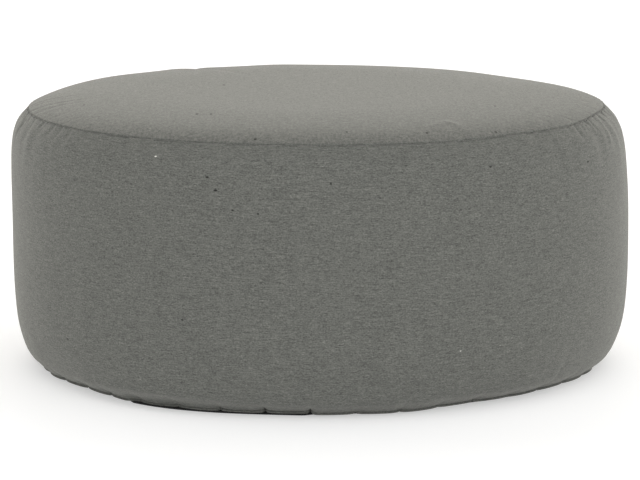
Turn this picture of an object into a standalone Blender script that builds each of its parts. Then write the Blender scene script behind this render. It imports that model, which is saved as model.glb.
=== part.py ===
"""A large round outdoor ottoman of heathered grey cloth, in metres, +Z up.

It has three sewn pieces: the filled side wall, the crowned top panel and the black base panel.
The origin is on the floor under its middle, and its front faces -Y. An azimuth is measured in
degrees from the front towards +X.
"""

import math
from collections import namedtuple

import bpy
from mathutils import Matrix, Vector

# Driving dimensions
WIDEST_RADIUS = 0.450
SEAM_RADIUS = 0.4197
SEAM_HEIGHT = 0.3765
SHOULDER_RISE = 0.0174  # the fast rise of the top panel just inside the seam
DOME_RISE = 0.0013  # the slow rise of the top panel up to its middle
SHOULDER_POWER = 12

# Cloth sizes
PANEL_THICKNESS = 0.0020
BASE_THICKNESS = 0.0025
CLOTH_GAP = 0.0003
BASE_RADIUS = 0.4020
BASE_EDGE = 0.0008
SEAM_LIP = 0.0012  # how far each side of the seam its cloth starts to roll in
SEAM_VALLEY = 0.0009  # depth of the rolled edges

# The hem and the groove over it
HEM_RADIUS = 0.4130
HEM_HEIGHT = 0.0035
GROOVE_RADIUS = 0.4090
GROOVE_HEIGHT = 0.0068
HEM_REACH = 0.030  # height up to which the hem's puckers show

# The section of the wall from over the groove up to the seam
WallRow = namedtuple("WallRow", "height draw_in")
WALL_ROWS = (
    WallRow(0.0095, 0.0335),
    WallRow(0.0190, 0.0245),
    WallRow(0.0350, 0.0156),
    WallRow(0.0700, 0.0059),
    WallRow(0.1300, 0.0007),
    WallRow(0.2150, 0.0000),
    WallRow(0.2850, 0.0010),
    WallRow(0.3300, 0.0048),
    WallRow(0.3560, 0.0129),
    WallRow(SEAM_HEIGHT, WIDEST_RADIUS - SEAM_RADIUS),
)
POINTS_PER_ROW = 2
CROWN_ROW_SHARES = (0.0, 0.40, 0.70, 0.84, 0.92, 0.965)

# Turning: four steps from each pucker of the hem to the next, three to each gather under the seam
STEPS = 160
PUCKER_PITCH = 9.0
PUCKER_START = -1.8
PUCKER_WIDTH = 1.1
HEM_BOW = 0.0012  # how far the hem bows out between two puckers
GATHER_PITCH = 6.75
GATHER_REACH = 0.040  # how far below the seam the gathers fade out

# How the soft body leans sideways, as a bow over its height
LEAN_AT_BOW = 0.0012
LEAN_BEND = 0.116
LEAN_BOW_HEIGHT = 0.14

# Where the foot bulges out or draws in
FootBulge = namedtuple("FootBulge", "azimuth spread outward")
FOOT_BULGES = (
    FootBulge(-58.0, 11.0, -0.0065),
    FootBulge(-34.0, 14.0, 0.0090),
    FootBulge(-8.0, 10.0, -0.0060),
    FootBulge(8.0, 8.0, -0.0070),
    FootBulge(30.0, 12.0, -0.0180),
    FootBulge(54.0, 17.0, -0.0120),
    FootBulge(160.0, 50.0, -0.0060),
)
FOOT_REACH = 0.10

# Where the rim of the top is a little higher or lower
RimLump = namedtuple("RimLump", "azimuth spread rise")
RIM_LUMPS = (
    RimLump(-160.0, 8.0, -0.0010),
    RimLump(-145.0, 7.0, 0.0018),
    RimLump(-126.0, 12.0, 0.0022),
    RimLump(-102.0, 10.0, -0.0015),
    RimLump(98.0, 14.0, 0.0022),
    RimLump(130.0, 12.0, -0.0036),
    RimLump(165.0, 22.0, -0.0008),
)
RIM_REACH = 0.080


def smooth_step(share):
    share = min(1.0, max(0.0, share))
    return share * share * (3.0 - 2.0 * share)


def smooth_curve(rows, per_span):
    """Points on a Catmull-Rom curve through the rows, per_span of them to each span."""
    points = [Vector(row) for row in rows]
    points = [2 * points[0] - points[1], *points, 2 * points[-1] - points[-2]]
    curve = []
    for before, start, end, after in zip(points, points[1:], points[2:], points[3:]):
        slope = end - before
        bend = 2 * before - 5 * start + 4 * end - after
        twist = 3 * start - before - 3 * end + after
        for step in range(per_span):
            t = step / per_span
            curve.append(start + 0.5 * t * (slope + t * (bend + t * twist)))
    curve.append(points[-2])
    return curve


def crown_height(radius):
    share = radius / SEAM_RADIUS
    rise = SHOULDER_RISE * (1 - share**SHOULDER_POWER) + DOME_RISE * (1 - share**2)
    return SEAM_HEIGHT + rise


def crown_inset(radius, depth):
    """The point at this depth under the top panel's face, square to the face."""
    slope = SHOULDER_RISE * SHOULDER_POWER * (radius / SEAM_RADIUS) ** (SHOULDER_POWER - 1)
    tilt = math.atan((slope + 2 * DOME_RISE * radius / SEAM_RADIUS) / SEAM_RADIUS)
    return Vector((radius - depth * math.sin(tilt), crown_height(radius) - depth * math.cos(tilt)))


def seam_point(across, depth):
    """A point of the seam's valley, across it towards the wall and down into it."""
    inset = crown_inset(SEAM_RADIUS, depth)
    inward = (inset - Vector((SEAM_RADIUS, SEAM_HEIGHT))).normalized() if depth else Vector((0, 0))
    return inset + across * Vector((-inward.y, inward.x))


def wall_profile():
    """The filled wall's half section, from the top's middle out and down to the foot's middle."""
    bed_depth = PANEL_THICKNESS + CLOTH_GAP
    bed = [crown_inset(share * SEAM_RADIUS, bed_depth) for share in CROWN_ROW_SHARES]
    bed[0].x = 0.0
    lip = [seam_point(CLOTH_GAP / 2, bed_depth), seam_point(CLOTH_GAP / 2, SEAM_VALLEY)]
    rows = smooth_curve(WALL_ROWS, POINTS_PER_ROW)
    wall = [Vector((WIDEST_RADIUS - draw_in, height)) for height, draw_in in reversed(rows)]
    wall[0] += (wall[1] - wall[0]).normalized() * SEAM_LIP
    foot_height = BASE_THICKNESS + CLOTH_GAP
    hem = [
        Vector((GROOVE_RADIUS, GROOVE_HEIGHT)),
        Vector((HEM_RADIUS, (GROOVE_HEIGHT + HEM_HEIGHT) / 2)),
        Vector((HEM_RADIUS, HEM_HEIGHT)),
        Vector((HEM_RADIUS - 0.003, foot_height)),
        Vector((0.0, foot_height)),
    ]
    return bed + lip + wall + hem


def panel_profile():
    """The top panel's half section: out over its face, round its rim and back underneath."""
    radii = [share * SEAM_RADIUS for share in CROWN_ROW_SHARES]
    face = [Vector((radius, crown_height(radius))) for radius in radii]
    start = SEAM_RADIUS - SEAM_LIP
    rim = [
        Vector((start, crown_height(start))),
        seam_point(-CLOTH_GAP / 2, SEAM_VALLEY),
        seam_point(-CLOTH_GAP / 2, PANEL_THICKNESS),
    ]
    under = [crown_inset(radius, PANEL_THICKNESS) for radius in reversed(radii)]
    under[-1].x = 0.0
    return face + rim + under


def base_profile():
    return [
        Vector((0.0, BASE_THICKNESS)),
        Vector((BASE_RADIUS - BASE_EDGE, BASE_THICKNESS)),
        Vector((BASE_RADIUS, BASE_THICKNESS - BASE_EDGE)),
        Vector((BASE_RADIUS, BASE_EDGE)),
        Vector((BASE_RADIUS - BASE_EDGE, 0.0)),
        Vector((0.0, 0.0)),
    ]


def azimuth_of(point):
    return math.degrees(math.atan2(point.x, -point.y))


def turned_by(azimuth, other):
    """Degrees between two azimuths, the short way round."""
    return (azimuth - other + 180.0) % 360.0 - 180.0


def uneven(azimuth, rows):
    """The sum of the soft swells of a table, whose columns are azimuth, spread and size."""
    return sum(size * math.exp(-((turned_by(azimuth, at) / spread) ** 2)) for at, spread, size in rows)


def pucker(azimuth):
    """1 in the middle of each pucker of the hem and 0 away from it."""
    off = turned_by(azimuth, PUCKER_START) % PUCKER_PITCH
    return math.exp(-((min(off, PUCKER_PITCH - off) / PUCKER_WIDTH) ** 2))


def pucker_depth(azimuth):
    """The puckers are deepest a little left of the front and uneven all round."""
    turn = math.radians(azimuth)
    return 0.0020 + 0.0014 * math.exp(-(((azimuth + 7) / 16) ** 2)) + 0.0006 * math.sin(5 * turn)


def gather_depth(azimuth):
    """The gathers are deepest at both ends of the view and uneven all round."""
    turn = math.radians(azimuth)
    return 0.0005 + 0.0007 * math.sin(turn) ** 2 + 0.0003 * math.sin(7 * turn)


def settled(point):
    """Where the soft ottoman has this point of the evenly turned body."""
    azimuth = azimuth_of(point)
    outward = Vector((point.x, point.y, 0.0)) / WIDEST_RADIUS
    low = smooth_step(1.0 - point.z / FOOT_REACH)
    foot = uneven(azimuth, FOOT_BULGES)
    high = smooth_step(1.0 + (point.z - SEAM_HEIGHT) / RIM_REACH) * outward.length**4
    lumps = uneven(azimuth, RIM_LUMPS)
    lean = LEAN_AT_BOW - LEAN_BEND * (point.z - LEAN_BOW_HEIGHT) ** 2
    return point + outward * low * foot + Vector((lean, 0.0, high * lumps))


def puckered(point):
    """Adds the gathers under the seam and the hem's puckers to a point of the wall's face."""
    radius = math.hypot(point.x, point.y)
    azimuth = azimuth_of(point)
    outward = Vector((point.x, point.y, 0.0)) / max(radius, 0.001)
    below = SEAM_HEIGHT - point.z
    if radius > SEAM_RADIUS + SEAM_LIP / 2 and below < GATHER_REACH:
        fade = smooth_step(below / 0.008) * smooth_step(1.0 - below / GATHER_REACH)
        wave = math.cos(2 * math.pi * (azimuth - PUCKER_START) / GATHER_PITCH)
        return point + outward * gather_depth(azimuth) * fade * wave
    if radius > GROOVE_RADIUS - CLOTH_GAP and point.z < HEM_REACH:
        fade = smooth_step(1.0 - point.z / HEM_REACH)
        bow = HEM_BOW * math.sin(math.pi * (azimuth - PUCKER_START) / PUCKER_PITCH) ** 2
        depth = pucker_depth(azimuth) * pucker(azimuth)
        lift = 0.3 * depth * smooth_step(point.z / HEM_HEIGHT - 0.5)
        return point + fade * (outward * (bow - depth) + Vector((0.0, 0.0, lift)))
    return point


def cloth_material(name, colour, roughness):
    material = bpy.data.materials.new(name)
    material.use_nodes = True
    shader = material.node_tree.nodes["Principled BSDF"]
    shader.inputs["Base Color"].default_value = (*colour, 1.0)
    shader.inputs["Roughness"].default_value = roughness
    shader.inputs["Metallic"].default_value = 0.0
    material.diffuse_color = (*colour, 1.0)
    return material


def turned_piece(name, profile, shapers, material, collection):
    """Turns a half section round +Z, then moves its points as the soft cloth lies."""
    outline = bpy.data.meshes.new(name + "_outline")
    points = [(point.x, 0.0, point.y) for point in profile]
    outline.from_pydata(points, [(i, i + 1) for i in range(len(points) - 1)], [])
    turned = bpy.data.objects.new(name + "_turned", outline)
    collection.objects.link(turned)
    screw = turned.modifiers.new("Screw", "SCREW")
    screw.axis = "Z"
    screw.angle = math.tau
    screw.steps = screw.render_steps = STEPS
    screw.use_merge_vertices = True
    screw.merge_threshold = 0.00005
    graph = bpy.context.evaluated_depsgraph_get()
    mesh = bpy.data.meshes.new_from_object(turned.evaluated_get(graph))
    bpy.data.objects.remove(turned)
    bpy.data.meshes.remove(outline)
    mesh.transform(Matrix.Rotation(math.radians(PUCKER_START), 4, "Z"))
    for vertex in mesh.vertices:
        for shaper in shapers:
            vertex.co = shaper(vertex.co.copy())
    mesh.name = name
    mesh.materials.clear()
    mesh.materials.append(material)
    mesh.shade_smooth()
    mesh.set_sharp_from_angle(angle=math.radians(40))
    piece = bpy.data.objects.new(name, mesh)
    collection.objects.link(piece)
    return piece


def main():
    for old in list(bpy.data.objects):
        bpy.data.objects.remove(old)
    collection = bpy.data.collections.new("outdoor_ottoman")
    bpy.context.scene.collection.children.link(collection)
    grey_cloth = cloth_material("heathered_grey_cloth", (0.128, 0.131, 0.120), 0.9)
    panel_cloth = cloth_material("heathered_grey_top", (0.128, 0.131, 0.120), 0.9)
    black_cloth = cloth_material("black_base_cloth", (0.012, 0.012, 0.012), 0.9)
    turned_piece("side_wall", wall_profile(), (puckered, settled), grey_cloth, collection)
    turned_piece("top_panel", panel_profile(), (settled,), panel_cloth, collection)
    turned_piece("base_panel", base_profile(), (settled,), black_cloth, collection)


main()
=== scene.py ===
"""The looks of a large round outdoor ottoman in heathered grey cloth, on a pale studio floor.

Metres, +Z up, the front towards -Y. An azimuth is measured from the front towards +X.
"""

import math

import bpy
import numpy as np
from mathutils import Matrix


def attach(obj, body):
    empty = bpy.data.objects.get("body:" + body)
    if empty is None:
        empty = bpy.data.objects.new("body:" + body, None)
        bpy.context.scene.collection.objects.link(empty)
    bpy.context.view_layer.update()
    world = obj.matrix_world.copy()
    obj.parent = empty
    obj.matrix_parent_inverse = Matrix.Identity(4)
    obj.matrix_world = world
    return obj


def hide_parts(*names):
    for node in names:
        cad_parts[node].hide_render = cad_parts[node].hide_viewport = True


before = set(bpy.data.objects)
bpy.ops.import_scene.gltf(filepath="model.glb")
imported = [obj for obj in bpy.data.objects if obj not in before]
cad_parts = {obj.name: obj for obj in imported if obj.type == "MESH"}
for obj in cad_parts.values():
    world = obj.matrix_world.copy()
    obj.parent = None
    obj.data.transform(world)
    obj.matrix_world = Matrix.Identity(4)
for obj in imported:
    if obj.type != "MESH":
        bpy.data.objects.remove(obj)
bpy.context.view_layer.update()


# The filled side band
# One long strip of heathered outdoor cloth, closed to a ring round soft quick-drying filling. It is eased
# on to the smaller top panel with short gathers, and its lower edge is turned under as a narrow hem that
# a drawn-up thread puckers every 9 degrees.
widest_radius = 0.450
seam_radius = 0.4197
seam_height = 0.3765
shoulder_rise = 0.0174
dome_rise = 0.0013
shoulder_power = 12
crown_swell, swell_start, swell_end = 0.0042, 0.235, 0.385
cloth_gap = 0.0003
panel_thickness = 0.0020
base_thickness = 0.0025

pucker_pitch = 9.0
pucker_start = -1.8
columns_per_pucker = 24
column_count = columns_per_pucker * round(360 / pucker_pitch)
even_azimuths = pucker_start - 180 + np.arange(column_count) * 360 / column_count


def turned(section, azimuths):
    """Rings of points from a half section of (radius, height) rows, turned round +Z."""
    turn = np.radians(azimuths)[None, :]
    radius, height = section[:, 0][:, None], section[:, 1][:, None]
    level = np.broadcast_to(height, (len(section), turn.size))
    return np.stack([radius * np.sin(turn), -radius * np.cos(turn), level], -1)


def smooth_step(share):
    share = np.clip(share, 0.0, 1.0)
    return share * share * (3.0 - 2.0 * share)


def uneven(azimuth, rows):
    """The sum of the soft swells of a table, whose columns are azimuth, spread and size."""
    off = (azimuth[..., None] - rows[:, 0] + 180.0) % 360.0 - 180.0
    return (rows[:, 2] * np.exp(-((off / rows[:, 1]) ** 2))).sum(-1)


# azimuth, spread, outward
foot_bulges = np.array([
    (-58.0, 11.0, -0.0065),
    (-34.0, 14.0, 0.0090),
    (-8.0, 10.0, -0.0060),
    (8.0, 8.0, -0.0070),
    (30.0, 12.0, -0.0180),
    (54.0, 17.0, -0.0120),
    (160.0, 50.0, -0.0060),
])
# azimuth, spread, rise
rim_lumps = np.array([
    (-160.0, 8.0, -0.0010),
    (-170.0, 6.0, 0.0018),
    (-148.6, 2.0, -0.0062),
    (-145.0, 7.0, 0.0018),
    (-144.3, 2.5, 0.0012),
    (-126.0, 12.0, 0.0029),
    (-102.0, 10.0, -0.0015),
    (98.0, 14.0, 0.0020),
    (118.0, 10.0, -0.0010),
    (130.0, 12.0, -0.0040),
    (165.0, 24.0, -0.0019),
])
foot_reach = 0.10
rim_reach = 0.080
lean_at_bow, lean_bend, lean_bow_height = 0.0012, 0.116, 0.14


def azimuth_of(points):
    return np.degrees(np.arctan2(points[..., 0], -points[..., 1]))


def settled(points):
    """Where the soft, uneven ottoman has the points of an evenly turned one."""
    azimuth = azimuth_of(points)
    outward = points * (1.0, 1.0, 0.0) / widest_radius
    low = smooth_step(1.0 - points[..., 2] / foot_reach) * uneven(azimuth, foot_bulges)
    share = np.linalg.norm(outward, axis=-1)
    high = smooth_step(1.0 + (points[..., 2] - seam_height) / rim_reach) * share**4
    lean = lean_at_bow - lean_bend * (points[..., 2] - lean_bow_height) ** 2
    moved = points + outward * low[..., None]
    moved[..., 0] += lean
    moved[..., 2] += high * uneven(azimuth, rim_lumps)
    return moved


def crown_height(radius):
    """How high the face of the top panel lies at this radius."""
    share = radius / seam_radius
    swell = crown_swell * (1 - smooth_step((radius - swell_start) / (swell_end - swell_start)))
    return seam_height + shoulder_rise * (1 - share**shoulder_power) + dome_rise * (1 - share**2) + swell


slope_step = 0.0005


def crown_inset(radius, depth):
    """Points at this depth under the top panel's face, square to it, as (radius, height) rows."""
    tilt = np.arctan((crown_height(radius - slope_step) - crown_height(radius)) / slope_step)
    return np.stack([radius - depth * np.sin(tilt), crown_height(radius) - depth * np.cos(tilt)], -1)


# The seam's place, and the way straight down between the two cloths from it, as (radius, height)
seam = np.array([seam_radius, seam_height])
into_seam = crown_inset(np.array(seam_radius), 0.001) - seam
into_seam /= np.linalg.norm(into_seam)


def seam_roll(side, across, depth):
    """Points of the cloth's rolled edge at the seam: side is 1 for the band and -1 for the panel."""
    along = np.array([-into_seam[1], into_seam[0]])
    return seam + side * np.outer(across, along) + np.outer(depth, into_seam)


# height, radius: the band's section from over the groove up to the seam
band_rows = np.array([
    (0.0095, 0.4165),
    (0.0190, 0.4255),
    (0.0350, 0.4344),
    (0.0700, 0.4441),
    (0.1300, 0.4493),
    (0.2150, 0.4500),
    (0.2850, 0.4490),
    (0.3300, 0.4452),
    (0.3560, 0.4371),
    (seam_height, seam_radius),
])
points_per_span = 40


def run_along(section):
    """How far along a section each of its points lies."""
    return np.concatenate([[0], np.cumsum(np.linalg.norm(np.diff(section, axis=0), axis=1))])


def curve_through(rows):
    """A Catmull-Rom curve through the rows, as many fine points and how far along each lies."""
    ends = np.vstack([2 * rows[0] - rows[1], rows, 2 * rows[-1] - rows[-2]])
    fine = np.linspace(0, 1, points_per_span, endpoint=False)[:, None]
    spans = []
    for before, start, end, after in zip(ends, ends[1:], ends[2:], ends[3:]):
        bend = 2 * before - 5 * start + 4 * end - after
        twist = 3 * start - before - 3 * end + after
        spans.append(start + 0.5 * fine * ((end - before) + fine * (bend + fine * twist)))
    curve = np.vstack([*spans, rows[-1:]])
    return curve, run_along(curve)


def points_at(curve, run, places):
    return np.stack([np.interp(places, run, curve[:, k]) for k in (0, 1)], -1)


# The cloth's rows lie close together at the seam and the hem, and further apart on the plain wall.
band_curve, band_run = curve_through(band_rows[::-1, ::-1])
band_length = band_run[-1]
row_count, row_crowding = 76, 0.62
row_share = np.linspace(0, 1, row_count)
row_places = band_length * (row_share - row_crowding * np.sin(2 * np.pi * row_share) / (2 * np.pi))
band_section = points_at(band_curve, band_run, row_places)

roll_across = np.array([0.00017, 0.00021, 0.00034, 0.00060, 0.00095])
roll_depth = np.array([0.00200, 0.00115, 0.00060, 0.00020, 0.0])
near_seam_places = [0.0014, 0.0023]
near_seam = points_at(band_curve, band_run, near_seam_places)
hem_radius, hem_height = 0.4130, 0.0035
groove_radius, groove_height = 0.4104, 0.0068
hem_section = np.array([
    (0.4154, 0.0080),
    (0.4132, 0.0070),
    (groove_radius + 0.0014, groove_height - 0.0004),
    (0.4124, 0.0058),
    (0.4134, 0.0053),
    (hem_radius + 0.0008, 0.0047),
    (hem_radius + 0.0009, 0.0041),
    (hem_radius + 0.0004, hem_height),
    (hem_radius - 0.0008, base_thickness + 2 * cloth_gap),
    (0.4090, base_thickness + cloth_gap),
    (0.3900, base_thickness + cloth_gap),
    (0.2500, base_thickness + cloth_gap),
])
bed_radii = np.array([0.20, 0.34, 0.395, 0.414])
bed_section = crown_inset(bed_radii, panel_thickness + cloth_gap)
# azimuth, spread, share: where the seam is drawn so tight that its valley hardly shows
tight_seam = np.array([
    (-89.0, 5.0, 0.85),
    (-76.5, 5.0, 0.95),
    (-3.0, 3.0, 0.30),
    (3.6, 3.2, 0.85),
    (18.9, 2.5, 0.50),
    (26.0, 5.0, 0.30),
    (35.0, 5.5, 0.60),
    (76.5, 4.0, 0.75),
    (86.0, 3.0, 0.40),
])
tight_depth = 0.15


def seam_sewn(section, roll_rows):
    """Turns a section whose roll at the seam is shallow where the seam is drawn tight."""
    tight = section.copy()
    depth = (section[roll_rows] - seam) @ into_seam
    tight[roll_rows] -= np.outer(depth * (1 - tight_depth), into_seam)
    share = np.clip(uneven(even_azimuths, tight_seam), 0, 1)[None, :, None]
    return turned(section, even_azimuths) * (1 - share) + turned(tight, even_azimuths) * share


band_profile = np.vstack([
    bed_section,
    seam_roll(1, roll_across, np.append(panel_thickness + cloth_gap, roll_depth[1:])),
    near_seam,
    band_section[1:],
    hem_section,
])
first_band_row = len(bed_section) + len(roll_across) + len(near_seam)
wall_rows = slice(first_band_row, first_band_row + row_count - 1)
band_rings = seam_sewn(band_profile, slice(len(bed_section) + 1, len(bed_section) + len(roll_across)))

# A straight strip is longer than the seam and the hem that it is sewn to, so the filling's push on it
# buckles it into short gathers there. A coarser copy of it is filled by simulation to shape them.
strip_columns = 480
strip_pitch = 0.0066
strip_radius = 0.4515
# The faint waves that it starts with: how many round the ring, their slant, size and fade at the edges
fewest_waves, most_waves = 18, 90
most_slant = 25
wave_size = 0.00007
wave_fade = 0.02
filling_push = 4.0
filling_steps = 20
smoothings = 2
most_gather = 0.0018
# share of the band's length from the seam, share of the gathers there
gather_rows = (0.0, 0.30, 0.62, 1.0)
gather_shares = (1.6, 0.9, 0.5, 0.7)


def ring_quads(count, around):
    """The four corners of each face between rings of points."""
    row, column = np.meshgrid(np.arange(count - 1), np.arange(around), indexing="ij")
    corner = row * around + column
    beside = row * around + (column + 1) % around
    return np.stack([corner, corner + around, beside + around, beside], -1).reshape(-1, 4)


def open_strip(name, rings):
    """A tube of cloth, open at both edges."""
    mesh = bpy.data.meshes.new(name)
    mesh.from_pydata(rings.reshape(-1, 3).tolist(), [], ring_quads(*rings.shape[:2]).tolist())
    strip = bpy.data.objects.new(name, mesh)
    bpy.context.scene.collection.objects.link(strip)
    return strip


def outward_of(points):
    level = points * (1.0, 1.0, 0.0)
    return level / np.linalg.norm(level, axis=-1, keepdims=True)


def filled_strip():
    """How far the filled strip stands out from its even shape, by row and column, in metres."""
    places = np.linspace(0, band_length, round(band_length / strip_pitch) + 1)
    section = points_at(band_curve, band_run, places)
    azimuths = np.arange(strip_columns) * 360 / strip_columns - 180
    even = turned(section, azimuths)
    chance = np.random.default_rng(7)
    start = np.zeros(even.shape[:2])
    for waves in range(fewest_waves, most_waves):
        size = chance.normal()
        phase = chance.uniform(0, 2 * np.pi)
        slant = chance.uniform(-most_slant, most_slant)
        start += size * np.cos(waves * np.radians(azimuths) + phase + slant * places[:, None])
    edge = np.minimum(1, np.minimum(places, band_length - places) / wave_fade)[:, None]
    strip = open_strip("strip", even + outward_of(even) * (wave_size * start * edge)[..., None])
    sewn = strip.vertex_groups.new(name="sewn")
    last_row = (len(places) - 1) * strip_columns
    sewn.add([*range(strip_columns), *range(last_row, last_row + strip_columns)], 1.0, "REPLACE")
    strip.shape_key_add(name="sewn")
    cut = strip.shape_key_add(name="cut")
    flat_strip = turned(np.stack([np.full(len(places), strip_radius), band_length - places], -1), azimuths)
    cut.data.foreach_set("co", flat_strip.astype(np.float32).ravel())
    cut.value = 0.0
    filled = strip.modifiers.new("filled", "CLOTH")
    filled.settings.quality = 6
    filled.settings.tension_stiffness = 40.0
    filled.settings.compression_stiffness = 40.0
    filled.settings.shear_stiffness = 13.0
    filled.settings.bending_stiffness = 0.05
    filled.settings.vertex_group_mass = "sewn"
    filled.settings.use_pressure = True
    filled.settings.uniform_pressure_force = filling_push
    filled.settings.effector_weights.gravity = 0.0
    filled.settings.rest_shape_key = cut
    filled.collision_settings.use_collision = False
    filled.point_cache.frame_start = 1
    filled.point_cache.frame_end = filling_steps
    for step in range(1, filling_steps + 1):
        bpy.context.scene.frame_set(step)
    swollen = strip.evaluated_get(bpy.context.evaluated_depsgraph_get()).data
    places_now = np.empty(len(swollen.vertices) * 3)
    swollen.vertices.foreach_get("co", places_now)
    bpy.data.objects.remove(strip)
    bpy.context.scene.frame_set(1)
    stand = ((places_now.reshape(even.shape) - even) * outward_of(even)).sum(-1)
    stand -= stand.mean(1, keepdims=True)
    for _ in range(smoothings):
        stand = (np.roll(stand, 1, 1) + 2 * stand + np.roll(stand, -1, 1)) / 4
        stand[1:-1] = (stand[:-2] + 2 * stand[1:-1] + stand[2:]) / 4
    return places, azimuths, np.clip(stand, -most_gather, most_gather)


def gathers_at(places, azimuths):
    """The filled strip's gathers at these rows and columns."""
    rows, around, stand = filled_strip()
    closed = np.concatenate([stand, stand[:, :1]], 1)
    turns = np.append(around, 180.0)
    wrapped = (azimuths + 180) % 360 - 180
    by_column = np.stack([np.interp(wrapped, turns, row) for row in closed])
    return np.stack([np.interp(places, rows, column) for column in by_column.T], 1)


gathers = gathers_at(row_places[1:], even_azimuths)
gathers *= np.interp(row_places[1:] / band_length, gather_rows, gather_shares)[:, None]
band_rings[wall_rows] += outward_of(band_rings[wall_rows]) * gathers[..., None]

# The creases under the seam that show best, from the seam downwards. A negative depth is a ridge.
# azimuth and height at the top, azimuth and height at the foot, depth, half width
creases = [
    (56.4, 0.3735, 56.0, 0.3600, 0.0008, 0.0040),
    (59.4, 0.3750, 58.8, 0.3560, 0.0018, 0.0036),
    (61.9, 0.3755, 61.3, 0.3640, 0.0012, 0.0034),
    (64.3, 0.3760, 65.4, 0.3670, 0.0018, 0.0036),
    (63.6, 0.3700, 61.6, 0.3590, 0.0012, 0.0034),
    (67.3, 0.3745, 66.3, 0.3580, 0.0018, 0.0038),
    (70.6, 0.3760, 70.4, 0.3690, 0.0012, 0.0038),
    (74.0, 0.3760, 74.2, 0.3640, 0.0016, 0.0042),
    (77.6, 0.3765, 78.4, 0.3660, 0.0020, 0.0042),
    (81.2, 0.3765, 82.0, 0.3660, 0.0016, 0.0042),
    (71.9, 0.3680, 69.3, 0.3380, -0.0014, 0.0060),
    (-79.2, 0.3725, -74.8, 0.3500, 0.0020, 0.0045),
    (-76.4, 0.3650, -78.0, 0.3440, 0.0014, 0.0045),
    (-82.6, 0.3765, -79.6, 0.3640, 0.0020, 0.0042),
    (-85.6, 0.3765, -83.0, 0.3640, 0.0018, 0.0042),
    (-88.8, 0.3765, -87.0, 0.3650, 0.0018, 0.0042),
    (-71.0, 0.3745, -70.0, 0.3600, 0.0010, 0.0040),
    (-75.0, 0.3755, -73.8, 0.3640, 0.0012, 0.0040),
]
# The other creases come evenly spaced, a little astray and aslant, and lie flatter round the front.
hand_creases = ((54, 84), (-91, -69))
crease_pitch, crease_stray, crease_slant = 3.4, 0.8, 1.5
crease_top, crease_half_width = 0.3760, 0.0040
crease_drops = (0.007, 0.022)
crease_depths = (0.0008, 0.0020)
flat_creases_to, flat_crease, plain_crease = 52, 0.35, 0.9


def by_hand(azimuth, ranges):
    """Whether the table above holds what lies here."""
    return any(first < azimuth < last for first, last in ranges)


spare = np.random.default_rng(5)
for azimuth in np.arange(-180.0, 180.0, crease_pitch):
    if by_hand(azimuth, hand_creases):
        continue
    top = azimuth + spare.uniform(-crease_stray, crease_stray)
    foot = top + spare.uniform(-crease_slant, crease_slant)
    drop = spare.uniform(*crease_drops)
    share = flat_crease if abs(azimuth) < flat_creases_to else plain_crease
    depth = share * spare.uniform(*crease_depths)
    creases.append((top, crease_top, foot, crease_top - drop, depth, crease_half_width))
# shares of a crease's length: how far over its top it starts, where it ends, and over how much it fades
crease_start, crease_end, crease_fade = 0.25, 1.2, 0.6


def trough(aside):
    """A dip's section with its edges slightly raised, where aside is counted in half widths."""
    return (1 - 0.5 * aside**2) * np.exp(-0.5 * aside**2)


def creased(points):
    """Presses each crease of the table into the cloth."""
    azimuth = azimuth_of(points)
    outward = outward_of(points)
    moved = points.copy()
    for top_azimuth, top_height, foot_azimuth, foot_height, depth, half_width in creases:
        down = (top_height - points[..., 2]) / (top_height - foot_height)
        line = top_azimuth + np.clip(down, 0, 1) * (foot_azimuth - top_azimuth)
        aside = np.radians(azimuth - line) * widest_radius / half_width
        ends = smooth_step(1 + down / crease_start) * smooth_step((crease_end - down) / crease_fade)
        moved -= outward * (depth * ends * trough(aside))[..., None]
    return moved


hem_bow = 0.0012
pucker_width = 1.1
hem_reach = 0.030
# how strongly the columns are crowded, which fades upwards between 0.6 and 1.6 of the reach
column_crowding, crowding_end, crowding_reach = 0.70, 1.6, 0.045
# azimuth, notch height, notch depth: the deepest notches, which the front shows
deep_notches = np.array([
    (-19.8, 0.0075, 0.0040),
    (-10.8, 0.0105, 0.0065),
    (-1.8, 0.0110, 0.0060),
    (7.2, 0.0060, 0.0016),
    (16.2, 0.0050, 0.0012),
])
notch_half_width = 0.0052
notch_height, notch_depth = 0.0060, 0.0020
lobe_lift, lobe_corner = 0.0022, 0.0075


def past_pucker(azimuth):
    """How far each azimuth lies from the pucker next to it, in degrees."""
    return (azimuth - pucker_start + pucker_pitch / 2) % pucker_pitch - pucker_pitch / 2


def crowded(points):
    """Moves the columns near the hem closer to its puckers, so that the notches are finely made."""
    azimuth = np.radians(azimuth_of(points))
    low = smooth_step(crowding_end - points[..., 2] / crowding_reach)
    turn = 2 * np.pi * past_pucker(np.degrees(azimuth)) / pucker_pitch
    azimuth = azimuth - np.radians(low * column_crowding * np.sin(turn) * pucker_pitch / (2 * np.pi))
    radius = np.hypot(points[..., 0], points[..., 1])
    return np.stack([radius * np.sin(azimuth), -radius * np.cos(azimuth), points[..., 2]], -1)


plain_pucker, front_pucker, uneven_pucker = 0.0020, 0.0014, 0.0006
deepest_pucker, deep_spread, uneven_waves = -7, 16, 5


def pucker_depth(azimuth):
    """The puckers are deepest a little left of the front and uneven all round."""
    front = np.exp(-(((azimuth - deepest_pucker) / deep_spread) ** 2))
    waves = np.sin(uneven_waves * np.radians(azimuth))
    return plain_pucker + front_pucker * front + uneven_pucker * waves


# Only the outer part of the bottom is puckered, and only the cloth above the hem's fold is lifted beside
# a notch.
hem_inside, inside_blend = 0.400, 0.008
lift_from, lift_blend = 0.0050, 0.0020
lobe_depth = 0.0080
# A plain notch's depth goes up and down from one to the next round this share of the full one.
notch_share, notch_sway, notch_beat = 0.8, 0.4, 3.7
# In shares of its height: a notch narrows up to the first, to no less than the second of its width, and
# its depth fades up to the third.
narrow_end, narrowest, shallow_end = 1.15, 0.02, 1.2


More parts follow.
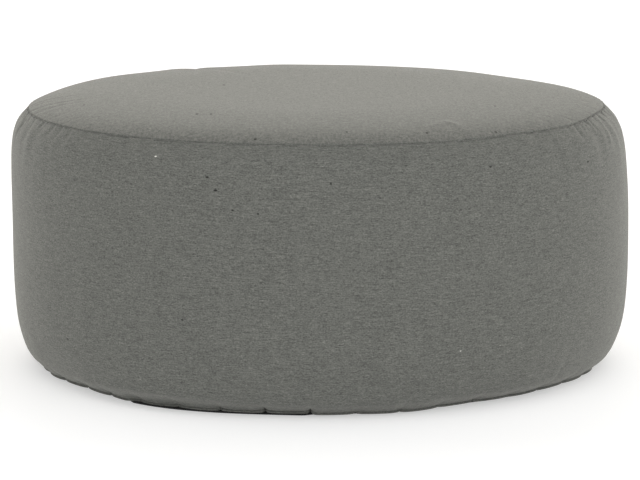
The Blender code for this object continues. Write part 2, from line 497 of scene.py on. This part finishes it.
def hem_puckered(points):
    """Draws the hem in at each pucker in a soft dip with a sharp notch, and bows it out between."""
    azimuth = azimuth_of(points)
    height = points[..., 2]
    radius = np.hypot(points[..., 0], points[..., 1])
    outer = smooth_step((radius - hem_inside) / inside_blend)
    fade = smooth_step(1.0 - height / hem_reach) * outer
    past = past_pucker(azimuth)
    aside = np.abs(np.radians(past)) * hem_radius
    bow = hem_bow * np.cos(np.pi * past / pucker_pitch) ** 2
    depth = pucker_depth(azimuth) * np.exp(-((past / pucker_width) ** 2))
    tall = np.full(azimuth.shape, notch_height)
    number = np.round((azimuth - pucker_start) / pucker_pitch)
    deep = np.full(azimuth.shape, notch_depth) * (notch_share + notch_sway * np.sin(notch_beat * number))
    for at, notch_tall, notch_deep in deep_notches:
        here = np.abs(azimuth - at) < pucker_pitch / 2
        tall[here], deep[here] = notch_tall, notch_deep
    room = notch_half_width * np.clip(narrow_end - height / tall, narrowest, 1)
    notch = deep * smooth_step(1.0 - aside / room) * smooth_step(2 * (shallow_end - height / tall)) * outer
    moved = points + outward_of(points) * (fade * (hem_bow - bow - depth) - notch)[..., None]
    cloth = smooth_step((height - lift_from) / lift_blend) * smooth_step(1.0 - height / hem_reach)
    lift = lobe_lift * (deep / lobe_depth) ** 0.5 * np.exp(-((aside / lobe_corner) ** 2))
    moved[..., 2] += lift * cloth * outer
    return moved


# The hem turns in under the band and comes down to the floor, apart from where the base cloth shows.
# how far it turns in at the front and elsewhere, from which height down, and from which radius out
hem_tuck, side_tuck = 0.0120, 0.0060
tuck_reach, tuck_blend = 0.021, 0.0165
tuck_inside, tuck_inside_blend = 0.36, 0.035
front_half_width, front_blend = 70.0, 20.0
# azimuth, spread, further up: where the band starts to turn in higher than elsewhere
higher_tuck = np.array([(-31.0, 17.0, 0.0070)])
# azimuth, spread, further inward
more_tuck = np.array([
    (-37.0, 13.0, 0.0030),
    (-12.0, 9.0, -0.0035),
    (16.0, 8.0, -0.0020),
    (38.0, 12.0, 0.0045),
])
# how far it comes down, and from which radius out
hem_drop = 0.0024
drop_inside, drop_inside_blend = 0.4085, 0.0025
# first azimuth, last azimuth, blend: where the base cloth shows under the hem
base_first, base_last, base_blend = -42.0, -0.5, 3.0
# azimuth, spread, rise
hem_rises = np.array([(-36.0, 5.0, -0.0012), (-24.3, 5.0, -0.0005)])


def base_showing(azimuth):
    """The share of its full height with which the base cloth's edge shows."""
    first, last = azimuth - base_first, base_last - azimuth
    return smooth_step(first / base_blend) * smooth_step(last / base_blend)


def tucked(points):
    """Turns the hem in under the band, and lets it down where the base cloth doesn't show."""
    azimuth = azimuth_of(points)
    height = points[..., 2]
    radius = np.hypot(points[..., 0], points[..., 1])
    low = smooth_step((tuck_reach + uneven(azimuth, higher_tuck) - height) / tuck_blend)
    front = smooth_step((front_half_width - np.abs(azimuth)) / front_blend)
    tuck = side_tuck + (hem_tuck - side_tuck) * front + uneven(azimuth, more_tuck)
    inward = low * smooth_step((radius - tuck_inside) / tuck_inside_blend) * tuck
    drop = hem_drop * (1 - base_showing(azimuth)) - uneven(azimuth, hem_rises)
    moved = points - outward_of(points) * inward[..., None]
    moved[..., 2] -= low * smooth_step((radius - drop_inside) / drop_inside_blend) * drop
    return moved


def closed_sheet(name, rings, along, up, join=math.inf):
    """A closed mesh from rings of points, top to bottom, with a point in the middle of each end.

    The weave map keeps where each corner lies in the cut cloth, in metres: along the weft, up the warp.
    A strip that is closed to a ring is joined at half its length, behind.
    """
    count, around = rings.shape[:2]
    points = np.vstack([rings.reshape(-1, 3), rings[[0, -1]].mean(1)])
    quads = ring_quads(count, around)
    rim = np.arange(around)
    next_rim = (rim + 1) % around
    last = (count - 1) * around
    top_fan = np.stack([np.full(around, count * around), rim, next_rim], -1)
    foot_fan = np.stack([np.full(around, count * around + 1), last + next_rim, last + rim], -1)
    mesh = bpy.data.meshes.new(name)
    mesh.from_pydata(points.tolist(), [], quads.tolist() + top_fan.tolist() + foot_fan.tolist())
    mesh.shade_smooth()
    which = np.concatenate([quads.ravel(), top_fan.ravel(), foot_fan.ravel()])
    weave = np.stack([along.ravel()[which], up.ravel()[which]], -1)
    sides = weave[:quads.size, 0].reshape(-1, 4)
    across_join = np.where(sides.max(1, keepdims=True) - sides > join, 2 * join, 0.0)
    weave[:quads.size, 0] += across_join.ravel()
    mesh.uv_layers.new(name="weave").data.foreach_set("uv", weave.astype(np.float32).ravel())
    piece = bpy.data.objects.new(name, mesh)
    bpy.context.scene.collection.objects.link(piece)
    return piece


# azimuth, spread, inward: where the seam strays from its even round, with the cloth on both sides of it
seam_strays = np.array([
    (73.0, 11.0, 0.0052),
    (46.0, 12.0, 0.0016),
    (-93.0, 8.0, 0.0022),
    (-6.0, 26.0, 0.0016),
    (38.5, 6.0, 0.0020),
])
seam_slope = 0.5
stray_reach = 0.020


def strayed(points):
    """Moves the seam and the cloth near it inwards over the crown where it strays."""
    inward = uneven(azimuth_of(points), seam_strays)
    off = np.hypot(np.hypot(points[..., 0], points[..., 1]) - seam_radius, points[..., 2] - seam_height)
    inward = inward * np.exp(-((off / stray_reach) ** 2))
    moved = points - outward_of(points) * inward[..., None]
    moved[..., 2] += seam_slope * inward
    return moved


band_rings = settled(strayed(tucked(hem_puckered(creased(crowded(band_rings))))))
band_up = -np.repeat(run_along(band_profile), column_count)
band_up = np.append(band_up, [band_up[0], band_up[-1]])
band_along = np.radians(azimuth_of(band_rings)).ravel() * widest_radius
band_along = np.append(band_along, [0.0, 0.0])
band = closed_sheet("side_band", band_rings, band_along, band_up, math.pi * widest_radius)


class Finish:
    """A material put together from nodes: each has a type, what goes into its sockets, and settings."""

    def __init__(self, name):
        self.material = bpy.data.materials.new(name)
        self.material.use_nodes = True
        self.nodes = self.material.node_tree.nodes
        self.links = self.material.node_tree.links
        self.shader = self.nodes["Principled BSDF"]

    def add(self, kind, inputs=(), **settings):
        node = self.nodes.new(kind)
        for setting, value in settings.items():
            setattr(node, setting, value)
        for socket, value in enumerate(inputs):
            self.feed(node.inputs[socket], value)
        return node

    def plain(self, look):
        """Sets the shader's own sockets to even values."""
        for socket, value in look.items():
            self.shader.inputs[socket].default_value = value

    def feed(self, socket, value):
        if isinstance(value, bpy.types.NodeSocket):
            self.links.new(value, socket)
        elif value is not None:
            socket.default_value = value

    def maths(self, operation, *inputs):
        return self.add("ShaderNodeMath", inputs, operation=operation).outputs[0]

    def vector(self, operation, *inputs):
        return self.add("ShaderNodeVectorMath", inputs, operation=operation).outputs[0]


# Yarn colours of the melange, from the dark yarn to the light one
dark_yarn = (0.058, 0.060, 0.054, 1)
grey_yarn = (0.1265, 0.1292, 0.1185, 1)
light_yarn = (0.200, 0.203, 0.183, 1)
slub_yarn = (0.018, 0.018, 0.016, 1)
bright_speck = (0.700, 0.690, 0.640, 1)
# long side and short side of a fleck, share of it in the look
weft_flecks = (0.0034, 0.0010, 0.46)
long_flecks = (0.0150, 0.0012, 0.28)
warp_flecks = (0.0012, 0.0024, 0.30)
# The tone picks the yarn: the even one is the grey yarn, and these are the steps to the others. A fleck's
# noise is as often over the middle as under it.
even_tone = 0.5
noise_middle = 0.5
yarn_step, slub_step = 0.18, 0.36
mottle_scale, mottle_share = 20.0, 0.03
# where a slub starts to fade and where it ends, as shares of its half length
slub_core, slub_end = 0.5, 1.2
# width and height of the cloth that each rare slub has to itself, and the share that has one
rare_width, rare_height, rare_share = 0.085, 0.045, 0.20
rare_core, rare_end, rare_tone = 0.010, 0.030, -0.26
# long side and short side of a yarn, how deep and how strong the weave's relief is
yarn_length, yarn_width = 0.0040, 0.00075
relief_depth, relief_strength = 0.0004, 0.5


def heathered_cloth(name, weft, more_flecks, slubs, rare_behind):
    """The grey outdoor cloth: a plain weave of melange yarns, with flecks, slubs and a soft sheen.

    The weft is the way that the weft yarns run in space: round the band, or straight across the panel.
    Rare slubs come only behind the given y, where none is listed.
    """
    cloth = Finish(name)
    place = cloth.add("ShaderNodeTexCoord").outputs["Object"]
    across = cloth.vector("MULTIPLY", place, weft)
    woven = cloth.add("ShaderNodeUVMap", uv_map="weave").outputs[0]
    up = cloth.add("ShaderNodeSeparateXYZ", [woven]).outputs[1]

    def flecks(long_side, short_side, detail=1.0):
        scaled = cloth.vector("MULTIPLY", across, (1 / long_side,) * 3)
        rows_up = cloth.maths("DIVIDE", up, short_side)
        rise = cloth.add("ShaderNodeCombineXYZ", [0.0, 0.0, rows_up]).outputs[0]
        noise = cloth.add("ShaderNodeTexNoise", [cloth.vector("ADD", scaled, rise)])
        noise.inputs["Scale"].default_value = 1.0
        noise.inputs["Detail"].default_value = detail
        return noise.outputs["Fac"]

    tone = None
    for long_side, short_side, share in (weft_flecks, long_flecks, warp_flecks, *more_flecks):
        evened = cloth.maths("ADD", flecks(long_side, short_side), -noise_middle)
        part = cloth.maths("MULTIPLY", evened, share)
        tone = part if tone is None else cloth.maths("ADD", tone, part)
    mottle = cloth.add("ShaderNodeTexNoise", [place])
    mottle.inputs["Scale"].default_value = mottle_scale
    mottle.inputs["Detail"].default_value = 1.0
    tone = cloth.maths("ADD", tone, even_tone - mottle_share / 2)
    tone = cloth.maths("MULTIPLY_ADD", mottle.outputs["Fac"], mottle_share, tone)
    for slub_along, slub_up, half_length, half_height, change in slubs:
        off = cloth.vector("SUBTRACT", woven, (slub_along, slub_up, 0.0))
        off = cloth.vector("MULTIPLY", off, (1 / half_length, 1 / half_height, 0.0))
        away = cloth.add("ShaderNodeVectorMath", [off], operation="LENGTH").outputs["Value"]
        spot = cloth.add("ShaderNodeMapRange", [away, slub_core, slub_end, change, 0.0]).outputs[0]
        tone = cloth.maths("ADD", tone, spot)
    spread = cloth.vector("MULTIPLY", woven, (1 / rare_width, 1 / rare_height, 0.0))
    cells = cloth.add("ShaderNodeTexVoronoi", [spread], voronoi_dimensions="2D")
    cells.inputs["Scale"].default_value = 1.0
    picked = cloth.maths("LESS_THAN", cells.outputs["Color"], rare_share)
    back = cloth.add("ShaderNodeSeparateXYZ", [place]).outputs[1]
    behind = cloth.maths("GREATER_THAN", back, rare_behind)
    off = cells.outputs["Distance"]
    rare = cloth.add("ShaderNodeMapRange", [off, rare_core, rare_end, rare_tone, 0.0]).outputs[0]
    rare = cloth.maths("MULTIPLY", rare, cloth.maths("MULTIPLY", picked, behind))
    tone = cloth.maths("ADD", tone, rare)
    yarns = cloth.add("ShaderNodeValToRGB", [tone])
    ramp = yarns.color_ramp
    dark, light = ramp.elements
    dark.position, dark.color = even_tone - yarn_step, dark_yarn
    light.position, light.color = even_tone + yarn_step, light_yarn
    ramp.elements.new(even_tone).color = grey_yarn
    ramp.elements.new(even_tone - slub_step).color = slub_yarn
    ramp.elements.new(1.0).color = bright_speck
    cloth.feed(cloth.shader.inputs["Base Color"], yarns.outputs["Color"])

    weft_yarn = flecks(yarn_length, yarn_width, detail=2.0)
    warp_yarn = flecks(yarn_width, yarn_length, detail=2.0)
    weave = cloth.add("ShaderNodeBump")
    weave.inputs["Strength"].default_value = relief_strength
    weave.inputs["Distance"].default_value = relief_depth
    cloth.feed(weave.inputs["Height"], cloth.maths("ADD", weft_yarn, warp_yarn))
    cloth.feed(cloth.shader.inputs["Normal"], weave.outputs[0])
    cloth.plain({
        "Roughness": 0.92,
        "Specular IOR Level": 0.25,
        "Sheen Weight": 0.20,
        "Sheen Roughness": 0.4,
        "Sheen Tint": (1.0, 0.985, 0.92, 1),
    })
    return cloth.material


# The slubs and light specks at the front: azimuth, height, half length, half height, change of tone
band_slubs = [
    (-19.5, 0.3335, 0.0022, 0.0014, -0.34),
    (-18.0, 0.3164, 0.0030, 0.0015, -0.46),
    (-24.75, 0.1359, 0.0022, 0.0013, -0.32),
    (-52.5, 0.0819, 0.0026, 0.0014, -0.34),
    (57.75, 0.3274, 0.0028, 0.0015, -0.34),
    (32.0, 0.3409, 0.0022, 0.0014, -0.32),
    (-15.0, 0.2906, 0.0020, 0.0012, -0.28),
    (-10.5, 0.2869, 0.0020, 0.0012, -0.28),
    (2.25, 0.3286, 0.0018, 0.0018, -0.28),
    (-30.0, 0.3556, 0.0020, 0.0013, 0.48),
    (25.25, 0.0917, 0.0016, 0.0011, 0.44),
]


def on_cloth(azimuth, height):
    """Where a place on the band lies on its cut cloth, in metres along the weft and up the warp."""
    radius = np.interp(height, band_section[::-1, 1], band_section[::-1, 0])
    place = settled(turned(np.array([[radius, height]]), np.array([azimuth])))[0, 0]
    up = np.interp(height, band_profile[wall_rows, 1][::-1], -run_along(band_profile)[wall_rows][::-1])
    return math.radians(azimuth_of(place)) * widest_radius, up


front_slubs = [(*on_cloth(azimuth, height), *look) for azimuth, height, *look in band_slubs]
band_cloth = heathered_cloth(
    "heathered_band_cloth", weft=(1.0, 1.0, 0.0), more_flecks=[], slubs=front_slubs, rare_behind=-0.20
)
band.data.materials.append(band_cloth)
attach(band, "root")
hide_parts("side_wall")


# The top panel
# A round of the same cloth, crowned over the filling and sewn to the band with a plain seam, so both
# cloths roll down into a narrow valley.
face_radii = np.concatenate([
    np.linspace(0.03, 0.30, 14),
    np.linspace(0.308, 0.36, 9),
    np.linspace(0.3645, 0.4182, 18),
])
underside_radii = np.array([0.416, 0.395, 0.34, 0.20])
panel_section = np.vstack([
    np.stack([face_radii, crown_height(face_radii)], -1),
    seam_roll(-1, roll_across[::-1][1:], roll_depth[::-1][1:]),
    crown_inset(underside_radii, panel_thickness),
])
# Short gathers of the panel's edge, from the seam inwards, that show best at both ends of the seam.
# azimuth at the seam, azimuth inside, radius inside, depth, half width
panel_gathers = [
    (-89.5, -91.5, 0.352, 0.0004, 0.0055),
    (-85.2, -86.4, 0.318, 0.0006, 0.0050),
    (-82.6, -81.8, 0.338, 0.0003, 0.0046),
    (-78.2, -76.6, 0.305, 0.0006, 0.0050),
    (-74.0, -73.0, 0.340, 0.0005, 0.0054),
    (71.5, 70.5, 0.380, 0.0003, 0.0045),
    (77.0, 78.0, 0.372, 0.0004, 0.0050),
    (83.0, 84.5, 0.365, 0.0003, 0.0050),
]
# The other gathers come evenly spaced, a little astray and aslant, and lie flatter round the front.
hand_gathers = ((66, 87), (-93, -71))
gather_pitch, gather_stray, gather_slant = 4.1, 1.2, 1.0
gather_half_width = 0.0048
gather_insides = (0.372, 0.398)
gather_depths = (0.0001, 0.0007)
flat_gathers_to, flat_gather, plain_gather = 60, 0.35, 0.8
edge = np.random.default_rng(11)
for azimuth in np.arange(-180.0, 180.0, gather_pitch):
    if by_hand(azimuth, hand_gathers):
        continue
    rim_at = azimuth + edge.uniform(-gather_stray, gather_stray)
    inside = edge.uniform(*gather_insides)
    share = flat_gather if abs(azimuth) < flat_gathers_to else plain_gather
    depth = share * edge.uniform(*gather_depths)
    inner_at = rim_at + edge.uniform(-gather_slant, gather_slant)
    panel_gathers.append((rim_at, inner_at, inside, depth, gather_half_width))
# the radius at a gather's outer end, and in shares of its length how far outside that it starts, where
# it ends, and over how much it fades
gather_rim = 0.416
gather_start, gather_end, gather_fade = 0.125, 1.1, 0.8
# The slubs that show on the panel: x, y, half length, half height, change of tone
panel_slubs = [
    (-0.1708, -0.2531, 0.0021, 0.0062, -0.50),
    (-0.1511, -0.2567, 0.0020, 0.0058, -0.44),
    (-0.0873, -0.3982, 0.0022, 0.0024, -0.50),
    (0.1452, -0.3645, 0.0020, 0.0030, -0.42),
    (0.2408, -0.3258, 0.0020, 0.0026, -0.42),
    (-0.1412, 0.0458, 0.0022, 0.0062, -0.42),
    (0.2470, -0.1678, 0.0019, 0.0052, -0.38),
    (0.0364, -0.3776, 0.0017, 0.0028, -0.36),
    (-0.3358, -0.1272, 0.0020, 0.0042, -0.38),
]
# The curved pull above the seam, right of the front: x, y, rise and half width along it
pull = np.array([
    (0.160, -0.345, 0.0002, 0.0060),
    (0.168, -0.320, 0.0009, 0.0060),
    (0.181, -0.306, 0.0013, 0.0055),
    (0.194, -0.317, 0.0012, 0.0050),
    (0.202, -0.345, 0.0008, 0.0050),
    (0.206, -0.366, 0.0002, 0.0050),
])
pull_steps = 60


def panel_gathered(points):
    """Presses the panel's gathers down from its rim, and raises the pull."""
    azimuth = azimuth_of(points)
    radius = np.hypot(points[..., 0], points[..., 1])
    drop = np.zeros(radius.shape)
    for rim_at, inner_at, inside, depth, half_width in panel_gathers:
        inward = (gather_rim - radius) / (gather_rim - inside)
        along = np.clip(inward, 0, 1)
        aside = np.radians(azimuth - rim_at - along * (inner_at - rim_at)) * radius / half_width
        ends = smooth_step(1 + inward / gather_start) * smooth_step((gather_end - inward) / gather_fade)
        drop += depth * ends * trough(aside)
    rise = np.zeros(radius.shape)
    steps = np.linspace(0, len(pull) - 1, pull_steps)
    line = np.stack([np.interp(steps, np.arange(len(pull)), pull[:, k]) for k in range(4)], -1)
    for x, y, lift, half_width in line:
        near = np.exp(-0.5 * ((points[..., 0] - x) ** 2 + (points[..., 1] - y) ** 2) / half_width**2)
        rise = np.maximum(rise, lift * near)
    moved = points.copy()
    moved[..., 2] += rise - drop
    return moved


def flat_cloth(name, rings):
    """A closed sheet whose weave runs straight across it."""
    points = np.vstack([rings.reshape(-1, 3), np.zeros((2, 3))])
    return closed_sheet(name, rings, points[:, 0], points[:, 1])


roll_start = len(face_radii)
panel_rings = seam_sewn(panel_section, slice(roll_start, roll_start + len(roll_across) - 2))
panel_rings = settled(strayed(panel_gathered(panel_rings)))
panel = flat_cloth("top_panel_cloth", panel_rings)
# The panel's flecks are taller, as its cloth lies almost along the view.
panel_flecks = [(0.0130, 0.0060, 0.20), (0.0036, 0.0085, 0.28)]
panel_cloth = heathered_cloth(
    "heathered_panel_cloth", weft=(1.0, 0.0, 0.0), more_flecks=panel_flecks, slubs=panel_slubs,
    rare_behind=-1.0
)
panel.data.materials.append(panel_cloth)
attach(panel, "root")
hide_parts("top_panel")


# The base panel
# A round of black base cloth, sewn to the hem from inside and flat on the floor. Only its edge shows.
base_radius, shows_further = 0.3935, 0.0078
base_middle, base_flat, edge_blend = 0.15, 0.36, 0.03
base_rounding = 0.0008
base_section = np.array([
    (base_middle, base_thickness),
    (base_flat, base_thickness),
    (base_radius - base_rounding, base_thickness),
    (base_radius, base_thickness - base_rounding),
    (base_radius, base_rounding),
    (base_radius - base_rounding, 0.0),
    (base_flat, 0.0),
    (base_middle, 0.0),
])
base_rings = turned(base_section, even_azimuths)
base_outer = smooth_step((base_section[:, 0] - base_flat) / edge_blend)[:, None, None]
further = (shows_further * base_showing(even_azimuths))[None, :, None]
base_rings = settled(base_rings + outward_of(base_rings) * base_outer * further)
base = flat_cloth("base_cloth", base_rings)
black_cloth = Finish("black_base_cloth")
black_cloth.plain({"Base Color": (0.012, 0.012, 0.012, 1), "Roughness": 0.9})
base.data.materials.append(black_cloth.material)
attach(base, "root")
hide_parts("base_panel")


# The floor
# A plain pale studio floor, wide enough to fill every view. It glows softly, so that the ottoman's foot is
# lit from below as it is on a bright studio sweep.
floor_size = 30.0
bpy.ops.mesh.primitive_plane_add(size=floor_size, location=(0, 0, 0))
floor = bpy.context.object
floor.name = "floor"
pale_floor = Finish("pale_floor")
pale_floor.plain({
    "Base Color": (0.66, 0.66, 0.66, 1),
    "Roughness": 0.9,
    "Emission Color": (1, 1, 1, 1),
    "Emission Strength": 0.40,
})
floor.data.materials.append(pale_floor.material)


# The studio light
# A pale surround, brightest low down, with two wide soft lights low behind the ottoman and two higher
# ones in front of it, the one on the right stronger.
warm_white = (1.05, 1.0, 0.92)
plain_white = (1.0, 1.0, 1.0)
# name, azimuth, elevation, strength, colour
studio_lights = (
    ("back_left", -150.0, 25.0, 0.41, warm_white),
    ("back_right", 150.0, 25.0, 0.41, warm_white),
    ("front_left", -40.0, 60.0, 0.195, plain_white),
    ("front_right", 40.0, 60.0, 0.42, plain_white),
)
light_spread = math.radians(80)
for name, azimuth, elevation, strength, colour in studio_lights:
    light = bpy.data.lights.new(name, "SUN")
    light.color = colour
    light.energy = math.pi * strength
    light.angle = light_spread
    lamp = bpy.data.objects.new(name, light)
    lamp.rotation_euler = (math.radians(90 - elevation), 0.0, math.radians(azimuth))
    bpy.context.scene.collection.objects.link(lamp)

surround_strength, surround_top = 1.31, 0.8
surround = bpy.data.worlds.new("pale_surround")
surround.use_nodes = True
sky = surround.node_tree
height = sky.nodes.new("ShaderNodeSeparateXYZ")
sky.links.new(sky.nodes.new("ShaderNodeTexCoord").outputs["Generated"], height.inputs[0])
glow = sky.nodes.new("ShaderNodeMapRange")
glow.interpolation_type = "SMOOTHSTEP"
glow.inputs["From Min"].default_value = 0.0
glow.inputs["From Max"].default_value = surround_top
glow.inputs["To Min"].default_value = surround_strength
glow.inputs["To Max"].default_value = 0.0
sky.links.new(height.outputs["Z"], glow.inputs["Value"])
sky.links.new(glow.outputs[0], sky.nodes["Background"].inputs["Strength"])
sky.nodes["Background"].inputs["Color"].default_value = (1, 1, 1, 1)
bpy.context.scene.world = surround
bpy.context.scene.view_settings.view_transform = "Standard"


# The camera
# A long lens about five metres off, a little above the ottoman, as the photograph was taken.
camera_distance = 5.2
camera_elevation = math.radians(9.75)
aim_height = 0.1757
sensor_width = 36.0
# the lens's length in pixels of the photograph, and how many of them it is wide
lens_pixels, picture_pixels = 3540.1, 640
lens = bpy.data.cameras.new("camera")
lens.sensor_width = sensor_width
lens.lens = lens_pixels * sensor_width / picture_pixels
camera = bpy.data.objects.new("camera", lens)
camera.location = (
    0.0,
    -camera_distance * math.cos(camera_elevation),
    aim_height + camera_distance * math.sin(camera_elevation),
)
camera.rotation_euler = (math.pi / 2 - camera_elevation, 0, 0)
bpy.context.scene.collection.objects.link(camera)
bpy.context.scene.camera = camera
